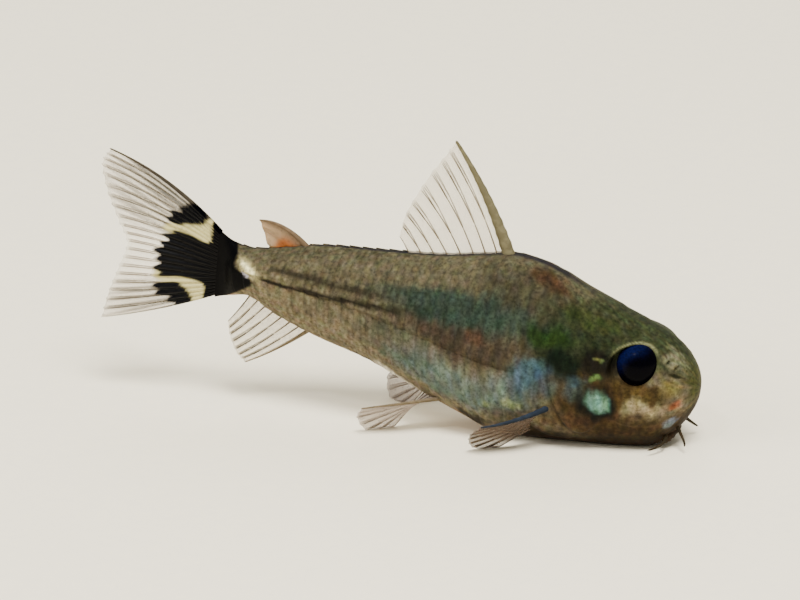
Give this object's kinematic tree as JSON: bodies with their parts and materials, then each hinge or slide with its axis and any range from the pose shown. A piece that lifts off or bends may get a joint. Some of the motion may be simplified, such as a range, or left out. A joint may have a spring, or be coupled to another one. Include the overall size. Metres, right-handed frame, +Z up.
{
  "type": "corydoras catfish",
  "caption": "Small armoured catfish resting on its belly, tail raised, with fins spread, feelers at the mouth and a dark tail spot.",
  "frame": {"origin": "on the floor, under the middle of the whole fish", "axes": "+X towards the snout, +Y towards the fish's left side, +Z up"},
  "size_m": [0.0299, 0.0094, 0.0143],
  "materials": {
    "head_skin": "wet olive-brown skin over bone, with a green and gold gleam",
    "body_skin": "satin grey-olive bony plates, silvery on the belly",
    "clear_fin": "clear membrane with fine brown rays",
    "amber_fin": "clear amber membrane with a dark spine",
    "spotted_fin": "clear rayed fin with a black spot edged in cream",
    "eye": "glossy blue-black eye with a thin gold ring",
    "barbel": "soft translucent tan skin"
  },
  "bodies": {
    "root": {"head": "head_skin", "torso": "body_skin", "tail": "body_skin", "fin_dorsal": "clear_fin", "fin_adipose": "amber_fin", "fin_anal": "clear_fin", "fin_tail": "spotted_fin", "eye_left": "eye", "eye_right": "eye", "fin_pectoral_left": "clear_fin", "fin_pectoral_right": "clear_fin", "fin_pelvic_left": "clear_fin", "fin_pelvic_right": "clear_fin", "barbel_upper_left": "barbel", "barbel_upper_right": "barbel", "barbel_lower_left": "barbel", "barbel_lower_right": "barbel"}
  },
  "joints": []
}
